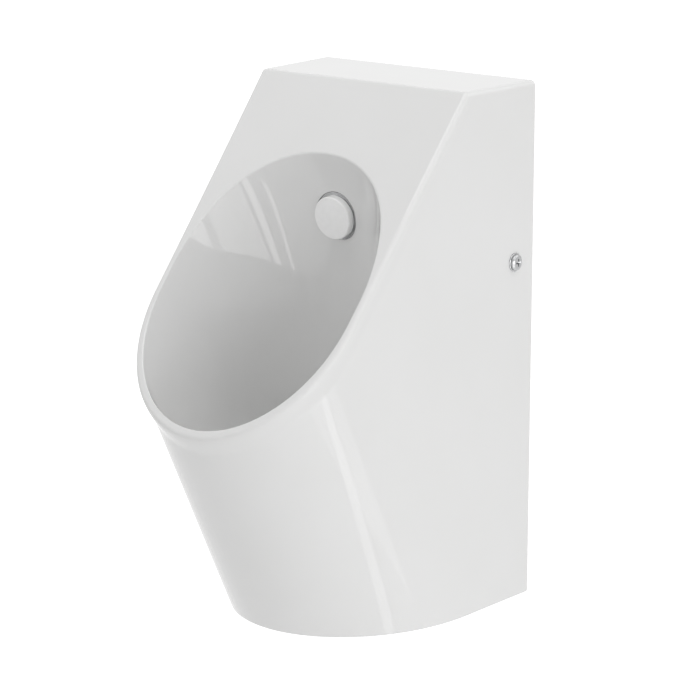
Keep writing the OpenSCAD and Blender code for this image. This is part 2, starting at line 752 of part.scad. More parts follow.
// The trap body is pulled up against the ceramic by the waste's tail
module trap_body() {
    neck_r = waste_tail_d / 2 + run_gap;
    color("white") difference() {
        union() {
            at_waste(trap_low_h) cylinder(d = trap_d, h = trap_top_h - trap_low_h);
            at_wall(waste_f, outlet_h) cylinder(r = branch_r, h = waste_f - branch_end_f);
        }
        difference() {
            at_waste(trap_low_h + trap_t)
                cylinder(r = trap_d / 2 - trap_t, h = trap_top_h - trap_low_h - trap_t - trap_cover_t);
            at_waste(tail_low_h) cylinder(r = neck_r + trap_t, h = trap_top_h - tail_low_h);
        }
        at_waste(tail_low_h - over) cylinder(r = neck_r, h = trap_top_h - tail_low_h + 2 * over);
        difference() {
            at_wall(waste_f, outlet_h)
                cylinder(r = outlet_d / 2 - outlet_t, h = waste_f - branch_end_f + over);
            at_waste(tail_low_h) cylinder(r = neck_r + trap_t, h = trap_top_h - tail_low_h);
        }
        at_wall(branch_end_f + socket_l, outlet_h)
            cylinder(r = outlet_d / 2 + run_gap, h = socket_l + over);
    }
}

// The union nut presses the seal onto the outlet pipe
module outlet_nut() {
    lip_t = trap_t;
    back = branch_end_f - outlet_seal_t - lip_t;
    color("white") at_wall(back + outlet_nut_l, outlet_h) difference() {
        cylinder(d = outlet_nut_d, h = outlet_nut_l);
        translate([0, 0, -over]) cylinder(r = branch_r + run_gap, h = outlet_nut_l - lip_t + over);
        cylinder(r = outlet_d / 2 + run_gap, h = outlet_nut_l + over);
        for (i = [0:grip_count - 1])
            rotate([0, 0, 360 * i / grip_count]) translate([outlet_nut_d / 2 + grip_out, 0, -over])
                cylinder(r = grip_r, h = outlet_nut_l + 2 * over);
    }
}

module outlet_seal() {
    color("dimgray") at_wall(branch_end_f, outlet_h) ring(outlet_d / 2 + run_gap, branch_r, outlet_seal_t);
}

module outlet_pipe() {
    color("white") at_wall(branch_end_f + socket_l, outlet_h) difference() {
        union() {
            cylinder(d = outlet_d, h = branch_end_f + socket_l + outlet_out);
            translate([0, 0, branch_end_f + socket_l - 2 * bead_l])
                cylinder(r = outlet_d / 2 + bead_h, h = bead_l);
        }
        translate([0, 0, -over]) cylinder(r = outlet_d / 2 - outlet_t, h = body_h);
    }
}

// A bent steel angle: a plate on the wall and an arm beside the ceramic's side wall
module wall_bracket(side) {
    color("gainsboro") mirror([side < 0 ? 1 : 0, 0, 0]) difference() {
        union() {
            translate([plate_in, -steel_t, -plate_h / 2]) cube([plate_out - plate_in, steel_t, plate_h]);
            translate([nut_x, arm_nose_r - arm_l, -arm_h / 2]) cube([steel_t, arm_l - arm_nose_r, arm_h]);
            translate([nut_x, -arm_l, arm_nose_r - arm_h / 2])
                cube([steel_t, arm_l, arm_h - 2 * arm_nose_r]);
            for (end = [-1, 1])
                translate([nut_x, arm_nose_r - arm_l, end * (arm_h / 2 - arm_nose_r)]) rotate([0, 90, 0])
                    cylinder(r = arm_nose_r, h = steel_t);
        }
        translate([plate_out - bend_r, -bend_r, -plate_h / 2 - over]) difference() {
            cube([bend_r + over, bend_r + over, plate_h + 2 * over]);
            cylinder(r = bend_r, h = plate_h + 2 * over);
        }
        for (end = [-1, 1])
            translate([hole_across / 2, over, end * hole_up / 2]) rotate([90, 0, 0])
                cylinder(d = wall_hole_d, h = steel_t + 2 * over);
        translate([nut_x - over, -screw_f, 0]) rotate([0, 90, 0])
            cylinder(r = screw_d / 2 + seat_gap / 2, h = steel_t + 2 * over);
    }
}

module bracket_nut(side) {
    color("silver") at_side(nut_x - nut_h, side) hex_nut(nut_w, nut_h, screw_d / 2 + run_gap);
}

// The bush lines the hole in the ceramic side and bears on the bracket's arm
module side_bush(side) {
    color("gray") at_side(bush_x, side) difference() {
        union() {
            cylinder(d = bush_d, h = spot_x - bush_x);
            translate([0, 0, -bush_flange_t]) cylinder(d = bush_flange_d, h = bush_flange_t);
        }
        translate([0, 0, -bush_flange_t - over])
            cylinder(r = screw_d / 2 + run_gap, h = spot_x - bush_x + bush_flange_t + 2 * over);
    }
}

module side_collar(side) {
    color("silver") at_side(spot_x, side) ring(screw_d / 2 + run_gap, collar_d / 2, collar_h);
}

module side_screw(side) {
    shank = spot_x + collar_h + rest_gap - screw_x;
    color("silver") at_side(screw_x, side) difference() {
        union() {
            cylinder(d = screw_d, h = shank);
            translate([0, 0, shank]) rotate_extrude() polygon(concat(
                [[0, 0], [head_d / 2, 0]],
                arc([head_d / 2 - head_edge_r, head_h - head_edge_r], head_edge_r, 0, 90),
                [[0, head_h]]
            ));
        }
        for (turn = [0, 90])
            rotate([0, 0, turn]) translate([-recess_l / 2, -recess_w / 2, shank + head_h - recess_h])
                cube([recess_l, recess_w, recess_h + over]);
    }
}

module wall_bracket_left() { wall_bracket(-1); }
module wall_bracket_right() { wall_bracket(1); }
module bracket_nut_left() { bracket_nut(-1); }
module bracket_nut_right() { bracket_nut(1); }
module side_bush_left() { side_bush(-1); }
module side_bush_right() { side_bush(1); }
module side_collar_left() { side_collar(-1); }
module side_collar_right() { side_collar(1); }
module side_screw_left() { side_screw(-1); }
module side_screw_right() { side_screw(1); }

ceramic_body();
spray_cap();
spray_body();
spray_gasket();
spray_washer();
spray_lock_nut();
inlet_seal();
inlet_union_nut();
inlet_pipe();
wall_nipple();
strainer();
waste_flange();
waste_gasket();
trap_insert();
insert_ring();
trap_top_gasket();
trap_body();
outlet_nut();
outlet_seal();
outlet_pipe();
wall_bracket_left();
wall_bracket_right();
bracket_nut_left();
bracket_nut_right();
side_bush_left();
side_bush_right();
side_collar_left();
side_collar_right();
side_screw_left();
side_screw_right();
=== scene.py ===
"""The looks of a wall hung urinal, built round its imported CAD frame. Metres, front -Y, up +Z."""

import json
import math

import bmesh
import bpy
from mathutils import Matrix, Vector


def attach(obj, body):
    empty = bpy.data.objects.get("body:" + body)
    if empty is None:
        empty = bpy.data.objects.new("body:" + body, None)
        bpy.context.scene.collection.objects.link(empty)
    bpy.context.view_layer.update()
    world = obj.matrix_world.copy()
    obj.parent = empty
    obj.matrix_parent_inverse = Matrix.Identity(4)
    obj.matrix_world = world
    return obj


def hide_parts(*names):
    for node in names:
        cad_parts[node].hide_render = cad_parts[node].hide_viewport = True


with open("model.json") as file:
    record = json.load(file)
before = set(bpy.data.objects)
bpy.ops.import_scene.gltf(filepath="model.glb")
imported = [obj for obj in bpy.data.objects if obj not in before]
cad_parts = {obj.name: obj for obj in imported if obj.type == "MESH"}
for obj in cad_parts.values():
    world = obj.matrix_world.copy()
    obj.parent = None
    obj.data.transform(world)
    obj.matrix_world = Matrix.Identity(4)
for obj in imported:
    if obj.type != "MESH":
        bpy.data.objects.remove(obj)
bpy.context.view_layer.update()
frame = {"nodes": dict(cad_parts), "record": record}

MM = 0.001
DEG = math.pi / 180
QUARTER = 90 * DEG
TURN = 360 * DEG

# The ceramic's sizes, as in the CAD. Depths f run forward from the wall,
# heights z up from the foot.
FIX_H = 395 * MM
BODY_W = 300 * MM
BODY_H = 595 * MM
TOP_DEPTH = 119 * MM
SLANT = 40.9 * DEG
TAPER_K = math.tan(2.24 * DEG)
NOSE_BACK = 103.5 * MM
LEAN_K = math.tan(28 * DEG)
NOSE_LONG_SHARE = 1.24
WALL_T = 9 * MM
EDGE_R = 6 * MM
RIM_R = 3.5 * MM
FOOT_R = 2 * MM
BACK_R = 0.8 * MM
RIM_FLARE = 3.77 * MM  # the CAD has 3.8, but this finer mesh would then pass its box
RIM_BAND = 24 * MM
HOLLOW_R = 3 * MM
HOLLOW_BACK = 20 * MM

# The bowl's sizes
RIM_T = 6 * MM
RIM_EASE = 60 * MM
FLOOR_H = 155 * MM
TURN_H = 220 * MM
BOWL_R = 60 * MM
SPRAY_H = 449.5 * MM
REAR_F = 162 * MM
SPRAY_TILT = 8.1 * DEG
REAR_K = math.tan(SPRAY_TILT)
OPEN_H = 522 * MM
REAR_CURL = 9.9 * MM
REAR_ROUND = 138 * MM
REAR_TURN_SHARE = 0.4
NARROW = 35 * MM
NARROW_DEPTH = 270 * MM
LIP_R = 1.6 * MM
LAND_R = 37.2 * MM
WASTE_F = 205 * MM

# How finely the surfaces are stepped
BACK_STEPS = 3
RIDGE_STEPS = 10
NOSE_STEPS = 60
FILLET_STEPS = 8
WALL_STEPS = 16
BAND_STEPS = 14
REAR_STEPS = 44
FRONT_STEPS = 60
BOWL_STEPS = 30
TURN_STEPS = 18
HALVINGS = 30
ROUND = 128
THREAD_ROUND = 72
THREAD_PER_TURN = 10
HOLE_ROUND = 24
ARC_STEPS = 6

# Distances and angles at which a mesh is cleaned and shaded
NEEDLE = 0.001 * MM
ON_AXIS = 1e-7
WELD = 1e-6
FLAT = 0.3 * DEG
CREASE = 40 * DEG

# The fittings' places, as in the CAD
SCREW_F = 33.5 * MM
INLET_H = 458.518 * MM
OUTLET_H = 107.45 * MM

# Rods that are cut away, or that the bosses keep: start along the axis, length, radius in mm
SPRAY_BOSS = (-12, 30, 22)
SPRAY_SEAT = (-1, 13, 28.1)
SPRAY_BORE = (-13, 15, 11.48)
SPRAY_PORT = (-12, 24, 1.7)
WASTE_BOSS = (139, 40, 40)
WASTE_SEAT = (151, 6, 35.6)
WASTE_BORE = (138, 17, 25.9)
SIDE_BORE = (138, 20, 7.55)
SIDE_SEAT = (148.265, 10, 10.85)

# Threads: radius, pitch and, for pipes, bore in mm
PIPE_R, PIPE_PITCH, PIPE_BORE = 10.48, 1.814, 6.5
SCREW_R, SCREW_PITCH = 4, 1.25
THREAD_DEPTH_SHARE = 0.6
FLANK_START, FLANK_SLOPE = 1.3, 4
RUNOUT_DROP = 0.5


def ease(t):
    """A smooth step from 0 to 1."""
    t = min(1, max(0, t))
    return t * t * (3 - 2 * t)


def side_half(f, g):
    """Half width of the straight sides at depth f, grown by g."""
    return BODY_W / 2 + g - f * TAPER_K


def nose_centre(z):
    """Depth of the nose's ellipse at height z."""
    return NOSE_BACK + z * LEAN_K


def nose_long(z, g):
    """The ellipse's half length, grown by g."""
    half = side_half(nose_centre(z), 0)
    return NOSE_LONG_SHARE * half / math.hypot(1, TAPER_K * NOSE_LONG_SHARE) + g


def tip_f(z, g):
    """Depth of the nose's tip."""
    return nose_centre(z) + nose_long(z, g)


def half_at(f, z, g):
    """Half width at depth f and height z: a straight side, then the nose's ellipse."""
    centre, long = nose_centre(z), nose_long(z, g)
    half = side_half(centre, g)
    if f < centre + TAPER_K * long * long / half:
        return side_half(f, g)
    across = math.sqrt(half * half - (TAPER_K * long) ** 2)
    return across * math.sqrt(max(0, 1 - ((f - centre) / long) ** 2))


def ridge_f(angle, g, r):
    """Depth on the rounded ridge between the top face and the slanted face."""
    sharp = TOP_DEPTH + g * (1 - math.sin(SLANT)) / math.cos(SLANT)
    return sharp - r * math.tan((QUARTER - SLANT) / 2) + r * math.sin(angle)


def ridge_h(angle, g, r):
    """Height on the rounded ridge."""
    return BODY_H + g - r * (1 - math.cos(angle))


class Column:
    """One upright line of the skin, on the back edge, on the ridge or at a share of the nose."""

    def __init__(self, kind, value):
        self.kind, self.value = kind, value
        rim = ease(value) if kind == "nose" else 0
        self.flare = RIM_FLARE * rim
        self.edge = EDGE_R + (RIM_R - EDGE_R) * rim
        self.inset = BACK_R * (1 - math.cos(value)) if kind == "back" else 0

    def depth(self, z, g, r, ring_g):
        """Depth of the column at height z."""
        if self.kind == "back":
            return BACK_R * (1 - math.sin(self.value))
        if self.kind == "behind":
            return -self.value
        if self.kind == "ridge":
            return ridge_f(self.value, g, r)
        end = ridge_f(QUARTER - SLANT, g, r)
        return end + (tip_f(z, g + ring_g) - end) * self.value

    def roof(self, g, r, ring_g, e):
        """Height at which the column meets the roof, lowered square to the roof by e."""
        if self.kind in ("back", "behind"):
            return BODY_H + g - e - self.inset
        if self.kind == "ridge":
            return ridge_h(self.value, g, r) - e / math.cos(self.value)
        end = ridge_f(QUARTER - SLANT, g, r)
        rise = (tip_f(BODY_H, 0) - tip_f(0, 0)) / BODY_H
        slope = self.value / math.tan(SLANT)
        top = ridge_h(QUARTER - SLANT, g, r)
        drop = (tip_f(0, g + ring_g) - end) * slope + e / math.sin(SLANT)
        return (top - drop) / (1 + rise * slope)

    def point(self, z, g, r, ring_g):
        """The column's point at height z."""
        z = z + self.inset if z < BODY_H / 2 else z
        f = self.depth(z, g, r, ring_g)
        return Vector((half_at(f, z, g + ring_g - self.inset), -f, z - FIX_H))


def skin_columns(behind):
    """The skin's columns from the back to the tip, starting behind the wall plane if asked."""
    if behind:
        columns = [Column("behind", behind)]
    else:
        columns = [Column("back", QUARTER * (1 - i / BACK_STEPS)) for i in range(BACK_STEPS + 1)]
    for i in range(RIDGE_STEPS + 1):
        columns.append(Column("ridge", (QUARTER - SLANT) * i / RIDGE_STEPS))
    for i in range(1, NOSE_STEPS + 1):
        columns.append(Column("nose", math.sin(QUARTER * i / NOSE_STEPS)))
    return columns


def skin_rings(columns, g, r):
    """Half rings from the foot to the roof, from the back to the tip."""
    rings = []
    for i in range(FILLET_STEPS + 1):
        a = QUARTER * i / FILLET_STEPS
        z, ring_g = -g + FOOT_R * (1 - math.cos(a)), -FOOT_R * (1 - math.sin(a))
        rings.append([c.point(z, g, r, ring_g) for c in columns])
    for i in range(1, WALL_STEPS):
        ring = []
        for c in columns:
            low, high = -g + FOOT_R, c.roof(g, r, 0, c.edge) - RIM_BAND
            ring.append(c.point(low + (high - low) * i / WALL_STEPS, g, r, 0))
        rings.append(ring)
    for i in range(BAND_STEPS):
        share = 1 - i / BAND_STEPS
        ring = []
        for c in columns:
            swell = c.flare * ease(1 - share)
            ring.append(c.point(c.roof(g, r, swell, c.edge) - RIM_BAND * share, g, r, swell))
        rings.append(ring)
    for i in range(FILLET_STEPS + 1):
        a = QUARTER * i / FILLET_STEPS
        ring = []
        for c in columns:
            ring_g = c.flare - c.edge * (1 - math.cos(a))
            ring.append(c.point(c.roof(g, r, ring_g, c.edge * (1 - math.sin(a))), g, r, ring_g))
        rings.append(ring)
    return rings


def mirrored(point):
    """The point's mirror image in the middle plane."""
    return Vector((-point.x, point.y, point.z))


def add_ring(bm, half, closed):
    """A ring of vertices from one half and its mirror image."""
    points = list(half) + [mirrored(p) for p in (half[-2:0:-1] if closed else half[-2::-1])]
    return [bm.verts.new(p) for p in points]


def join_rings(bm, lower, upper):
    """A band of faces between two rings."""
    n = len(lower)
    for i in range(n):
        j = (i + 1) % n
        bm.faces.new((lower[i], lower[j], upper[j], upper[i]))


def rungs(bm, ring, first, last):
    """Faces from one half of a ring across to the other."""
    n = len(ring)
    for i in range(first, last):
        corners = [ring[i], ring[i + 1], ring[n - 2 - i], ring[n - 1 - i]]
        bm.faces.new(list(dict.fromkeys(corners)))


def add_skin(bm, g, r, behind):
    """The skin without its slanted face. Returns its roof ring and the ridge's place in it."""
    columns = skin_columns(behind)
    rings = [add_ring(bm, ring, False) for ring in skin_rings(columns, g, r)]
    for lower, upper in zip(rings, rings[1:]):
        join_rings(bm, lower, upper)
    last = len(columns) - 1
    rungs(bm, rings[0], 0, last)
    ridge_end = last - NOSE_STEPS
    rungs(bm, rings[-1], 0, ridge_end)
    return rings[-1], ridge_end


def bowl_wall(z):
    """Thickness of the bowl's wall at height z: the rim is the thinnest."""
    return WALL_T + (RIM_T - WALL_T) * ease((z - RIM_FRONT_H + RIM_EASE) / RIM_EASE)


def rear_at(z):
    """Depth of the bowl's rear wall, which curls forward above the spray."""
    curl = REAR_CURL * max(0, (z - SPRAY_H) / (OPEN_H - SPRAY_H)) ** 2
    return REAR_F + (z - SPRAY_H) * REAR_K + curl


def narrowed(f, z):
    """Share of the full width that the bowl keeps at depth f and height z."""
    below = BODY_H - (f - TOP_DEPTH) / math.tan(SLANT) - z
    share = min(1, max(0, below) / NARROW_DEPTH)
    return 1 - NARROW / (BODY_W / 2) * math.sin(QUARTER * share)


def bowl_point(column, z, g, turn):
    """A point of the bowl at height z, grown by g and turned in towards the floor by turn."""
    grow = g - turn - bowl_wall(z)
    rear = rear_at(z) - g + turn * REAR_TURN_SHARE
    centre = min(rear + REAR_ROUND, nose_centre(z))
    kind, value = column
    if kind == "rear":
        f = centre - (centre - rear) * math.cos(value)
        x = half_at(centre, z, grow) * math.sin(value)
    else:
        f = centre + (tip_f(z, grow) - centre) * value
        x = half_at(f, z, grow)
    return Vector((x * narrowed(f, z), -f, z))


RIM_FRONT_H = Column("nose", 1).roof(0, EDGE_R, -RIM_T, 0)
BOWL_COLUMNS = [("rear", QUARTER * i / REAR_STEPS) for i in range(REAR_STEPS + 1)]
BOWL_COLUMNS += [("front", math.sin(QUARTER * i / FRONT_STEPS))
                 for i in range(1, FRONT_STEPS + 1)]


def bowl_roof(column, g, e):
    """Height at which a bowl column meets the slanted front, lowered square to it by e."""
    low, high = TURN_H, BODY_H
    for _ in range(HALVINGS):
        z = (low + high) / 2
        f = -bowl_point(column, z, g, 0).y
        if BODY_H - (f - TOP_DEPTH) / math.tan(SLANT) - e / math.sin(SLANT) > z:
            low = z
        else:
            high = z
    return (low + high) / 2


def bowl_rings(g):
    """Half rings from the lip down to the land round the waste."""
    rings = []
    for i in range(FILLET_STEPS, -1, -1):
        a = QUARTER * i / FILLET_STEPS
        grow, e = g + LIP_R * (1 - math.cos(a)), LIP_R * (1 - math.sin(a))
        rings.append([bowl_point(c, bowl_roof(c, grow, e), grow, 0) for c in BOWL_COLUMNS])
    tops = [bowl_roof(c, g, LIP_R) for c in BOWL_COLUMNS]
    for i in range(BOWL_STEPS - 1, 0, -1):
        rings.append([bowl_point(c, TURN_H + (top - TURN_H) * i / BOWL_STEPS, g, 0)
                      for c, top in zip(BOWL_COLUMNS, tops)])
    for i in range(TURN_STEPS + 1):
        a = QUARTER * i / TURN_STEPS
        z, turn = TURN_H - BOWL_R * math.sin(a), BOWL_R * (1 - math.cos(a))
        ring = []
        for c in BOWL_COLUMNS:
            p = bowl_point(c, z, g * math.cos(a), turn)
            ring.append(Vector((p.x, p.y, TURN_H - (BOWL_R + g) * math.sin(a))))
        rings.append(ring)
    land = []
    for c in BOWL_COLUMNS:
        p = bowl_point(c, TURN_H - BOWL_R, 0, BOWL_R)
        away = Vector((p.x, p.y + WASTE_F)).normalized() * LAND_R
        land.append(Vector((away.x, away.y - WASTE_F, FLOOR_H - g)))
    rings.append(land)
    return [[p - Vector((0, 0, FIX_H)) for p in ring] for ring in rings]


def add_bowl(bm, g):
    """The bowl's surface from its lip to its floor. Returns the lip's ring."""
    rings = [add_ring(bm, ring, True) for ring in bowl_rings(g)]
    for upper, lower in zip(rings, rings[1:]):
        join_rings(bm, upper, lower)
    bm.faces.new(rings[-1])
    return rings[0]


def ring_edges(bm, ring):
    """The edges round a closed ring, made where they aren't there yet."""
    pairs = zip(ring, ring[1:] + ring[:1])
    return [bm.edges.get(pair) or bm.edges.new(pair) for pair in pairs]


def to_object(name, bm):
    """Turns a finished bmesh into an object of the scene."""
    bmesh.ops.recalc_face_normals(bm, faces=bm.faces)
    mesh = bpy.data.meshes.new(name)
    bm.to_mesh(mesh)
    bm.free()
    obj = bpy.data.objects.new(name, mesh)
    bpy.context.scene.collection.objects.link(obj)
    return obj


def body_solid():
    """The body with its bowl, closed at the back."""
    bm = bmesh.new()
    roof, ridge_end = add_skin(bm, 0, EDGE_R, 0)
    lip = add_bowl(bm, 0)
    slanted = roof[ridge_end:len(roof) - ridge_end]
    edges = ring_edges(bm, slanted) + ring_edges(bm, lip)
    normal = Vector((0, -math.cos(SLANT), math.sin(SLANT)))
    bmesh.ops.triangle_fill(bm, use_beauty=True, use_dissolve=False, edges=edges,
                            normal=normal)
    return to_object("body_solid", bm)


def hollow_solid():
    """The space behind the bowl, open to the wall."""
    bm = bmesh.new()
    roof, ridge_end = add_skin(bm, -WALL_T, HOLLOW_R, HOLLOW_BACK)
    rungs(bm, roof, ridge_end, len(roof) // 2)
    return to_object("hollow_solid", bm)


def bowl_solid(g):
    """The bowl's space, grown by g and closed above the roof."""
    bm = bmesh.new()
    lip = add_bowl(bm, g)
    lid = [bm.verts.new(Vector((v.co.x, v.co.y, BODY_H + WALL_T - FIX_H))) for v in lip]
    join_rings(bm, lid, lip)
    bm.faces.new(lid)
    return to_object("bowl_solid", bm)


def rod(place, direction, sizes):
    """A plain rod for cutting, along a direction. Its sizes are start, length and radius in mm."""
    start, length, r = (size * MM for size in sizes)
    bm = bmesh.new()
    turn = direction.to_track_quat("Z", "Y").to_matrix().to_4x4()
    middle = Matrix.Translation(place + direction * (start + length / 2)) @ turn
    bmesh.ops.create_cone(bm, cap_ends=True, segments=ROUND, radius1=r, radius2=r, depth=length,
                          matrix=middle)
    return to_object("rod", bm)


def cut(obj, *tools):
    """Takes the tools away from obj and deletes them."""
    for tool in tools:
        step = obj.modifiers.new("cut", "BOOLEAN")
        step.operation, step.solver, step.object = "DIFFERENCE", "EXACT", tool
    applied(obj)
    for tool in tools:
        bpy.data.objects.remove(tool)
    return obj


def applied(obj):
    """Turns the modifiers' result into obj's own mesh, free of needle faces."""
    bpy.context.view_layer.update()
    result = obj.evaluated_get(bpy.context.evaluated_depsgraph_get())
    mesh = bpy.data.meshes.new_from_object(result)
    bm = bmesh.new()
    bm.from_mesh(mesh)
    bmesh.ops.remove_doubles(bm, verts=bm.verts, dist=NEEDLE)
    bmesh.ops.dissolve_degenerate(bm, edges=bm.edges, dist=NEEDLE)
    bmesh.ops.triangulate(bm, faces=[face for face in bm.faces if len(face.verts) > 4])
    bm.to_mesh(mesh)
    bm.free()
    obj.modifiers.clear()
    obj.data = mesh
    return obj


def smooth(obj, angle=35):
    """Smooth shading that keeps edges past an angle sharp and flat faces flat."""
    obj.data.shade_smooth()
    obj.data.set_sharp_from_angle(angle=angle * DEG)
    step = obj.modifiers.new("normals", "WEIGHTED_NORMAL")
    step.keep_sharp = True
    return obj


def to_axis(place, direction):
    """The matrix that carries local +Z to a direction from a place."""
    return Matrix.Translation(place) @ direction.to_track_quat("Z", "Y").to_matrix().to_4x4()


# Frames of the fittings, from the wall fixing's origin
UP = Vector((0, 0, 1))
BACK = Vector((0, 1, 0))
SPRAY_AT = Vector((0, -REAR_F, SPRAY_H - FIX_H))
SPRAY_OUT = Vector((0, -math.cos(SPRAY_TILT), -math.sin(SPRAY_TILT)))
SPRAY = to_axis(SPRAY_AT, SPRAY_OUT)
WASTE_AT = Vector((0, -WASTE_F, -FIX_H))
WASTE = to_axis(WASTE_AT, UP)
SCREWS_AT = Vector((0, -SCREW_F, 0))


def wall_axis(h):
    """A frame that looks back into the wall from its face at height h."""
    return to_axis(Vector((0, 0, h - FIX_H)), BACK)


def side_axis(side):
    """The side screw's frame, from the middle plane out."""
    return to_axis(SCREWS_AT, Vector((side, 0, 0)))


def make_ceramic():
    """The glazed body: the solid less the hollow behind its bowl, and less its seats and bores."""
    hollow = cut(hollow_solid(), bowl_solid(WALL_T), rod(SPRAY_AT, SPRAY_OUT, SPRAY_BOSS),
                 rod(WASTE_AT, UP, WASTE_BOSS))
    tools = [hollow,
             rod(SPRAY_AT, SPRAY_OUT, SPRAY_SEAT),
             rod(SPRAY_AT, SPRAY_OUT, SPRAY_BORE),
             rod(WASTE_AT, UP, WASTE_SEAT),
             rod(WASTE_AT, UP, WASTE_BORE)]
    for side in (-1, 1):
        out = Vector((side, 0, 0))
        tools.append(rod(SCREWS_AT, out, SIDE_BORE))
        tools.append(rod(SCREWS_AT, out, SIDE_SEAT))
    ceramic = cut(body_solid(), *tools)
    ceramic.name = "glazed_body"
    return smooth(ceramic)


# Materials
NOISE_LOW, NOISE_HIGH = 0.3, 0.7
GLAZE_COLOUR, GLAZE_ROUGHNESS = (0.785, 0.785, 0.78), 0.07
GLAZE_LOW, GLAZE_HIGH = (0.778, 0.778, 0.773), (0.792, 0.792, 0.789)
GLAZE_GLOSS = (0.022, 0.036)
GLAZE_COLOUR_SCALE, GLAZE_GLOSS_SCALE, GLAZE_SWELL_SCALE = 9, 22, 28
GLAZE_SWELL = 0.00003
PATCH_DARKER = 0.97
GLOSS_LOW, GLOSS_HIGH = 0.85, 1.2
GRAINS_IN_COLOUR_PATCH, GRAINS_IN_GLOSS_PATCH = 6, 3


def plain(name, colour, roughness, metallic=0.0):
    """A new node material with its shader."""
    material = bpy.data.materials.new(name)
    material.use_nodes = True
    shader = material.node_tree.nodes["Principled BSDF"]
    shader.inputs["Base Color"].default_value = (*colour, 1)
    shader.inputs["Roughness"].default_value = roughness
    shader.inputs["Metallic"].default_value = metallic
    return material, shader


def noise(material, scale, detail=2.0):
    """A noise in the piece's own coordinates."""
    nodes, links = material.node_tree.nodes, material.node_tree.links
    where = nodes.new("ShaderNodeTexCoord")
    texture = nodes.new("ShaderNodeTexNoise")
    texture.inputs["Scale"].default_value = scale
    texture.inputs["Detail"].default_value = detail
    links.new(where.outputs["Object"], texture.inputs["Vector"])
    return texture.outputs["Fac"]


def spread(material, value, low, high):
    """Carries a noise over from its usual range to low .. high."""
    nodes, links = material.node_tree.nodes, material.node_tree.links
    ramp = nodes.new("ShaderNodeMapRange")
    ramp.inputs["From Min"].default_value = NOISE_LOW
    ramp.inputs["From Max"].default_value = NOISE_HIGH
    ramp.inputs["To Min"].default_value = low
    ramp.inputs["To Max"].default_value = high
    links.new(value, ramp.inputs["Value"])
    return ramp.outputs["Result"]


def vary_colour(material, shader, value, low, high):
    """Blends the base colour between two colours by a noise."""
    nodes, links = material.node_tree.nodes, material.node_tree.links
    mix = nodes.new("ShaderNodeMix")
    mix.data_type = "RGBA"
    mix.inputs["A"].default_value = (*low, 1)
    mix.inputs["B"].default_value = (*high, 1)
    links.new(spread(material, value, 0, 1), mix.inputs["Factor"])
    links.new(mix.outputs["Result"], shader.inputs["Base Color"])


def bump(material, shader, value, height):
    """Raises the surface by a noise times a height."""
    nodes, links = material.node_tree.nodes, material.node_tree.links
    step = nodes.new("ShaderNodeBump")
    step.inputs["Strength"].default_value = 1
    step.inputs["Distance"].default_value = height
    links.new(value, step.inputs["Height"])
    links.new(step.outputs["Normal"], shader.inputs["Normal"])


def glaze():
    """Fired glaze: faint patches in its colour and gloss, and a slow swell."""
    material, shader = plain("glaze", GLAZE_COLOUR, GLAZE_ROUGHNESS)
    vary_colour(material, shader, noise(material, GLAZE_COLOUR_SCALE), GLAZE_LOW, GLAZE_HIGH)
    gloss = spread(material, noise(material, GLAZE_GLOSS_SCALE), *GLAZE_GLOSS)
    material.node_tree.links.new(gloss, shader.inputs["Roughness"])
    bump(material, shader, noise(material, GLAZE_SWELL_SCALE, 1), GLAZE_SWELL)
    return material


def finish_of(name, colour, roughness, metallic, grain, height):
    """A moulded or metal finish: faint patches in its colour and gloss, and a fine grain."""
    material, shader = plain(name, colour, roughness, metallic)
    darker = tuple(PATCH_DARKER * c for c in colour)
    patches = noise(material, grain / GRAINS_IN_COLOUR_PATCH)
    vary_colour(material, shader, patches, darker, colour)
    patches = noise(material, grain / GRAINS_IN_GLOSS_PATCH)
    gloss = spread(material, patches, roughness * GLOSS_LOW, roughness * GLOSS_HIGH)
    material.node_tree.links.new(gloss, shader.inputs["Roughness"])
    bump(material, shader, noise(material, grain, 4), height)
    return material


# Each finish: colour, roughness, metallic, scale of its grain and height of its grain in metres
MOULDED_AND_METAL = {
    "white_plastic": ((0.96, 0.96, 0.957), 0.16, 0, 900, 0.000004),
    "grey_plastic": ((0.33, 0.34, 0.35), 0.42, 0, 1100, 0.00003),
    "rubber": ((0.035, 0.035, 0.037), 0.6, 0, 1500, 0.00004),
    "fibre": ((0.42, 0.13, 0.08), 0.75, 0, 1800, 0.00006),
    "chrome": ((0.46, 0.465, 0.47), 0.1, 1, 500, 0.000004),
    "brass": ((0.72, 0.52, 0.25), 0.24, 1, 900, 0.00001),
    "stainless_steel": ((0.6, 0.6, 0.59), 0.27, 1, 1200, 0.00001),
    "zinc_steel": ((0.62, 0.64, 0.66), 0.36, 1, 260, 0.00001),
}
FINISHES = {"ceramic": glaze()}
for slot, numbers in MOULDED_AND_METAL.items():
    FINISHES[slot] = finish_of(slot, *numbers)


def dress(obj, slot):
    """Gives an object the finish of a slot."""
    obj.data.materials.clear()
    obj.data.materials.append(FINISHES[slot])


# Ways to make a fitting. Outlines are lists of (radius, height along the axis) in mm, and a
# third number is the radius of that corner.
MOST_OF_AN_EDGE = 0.49


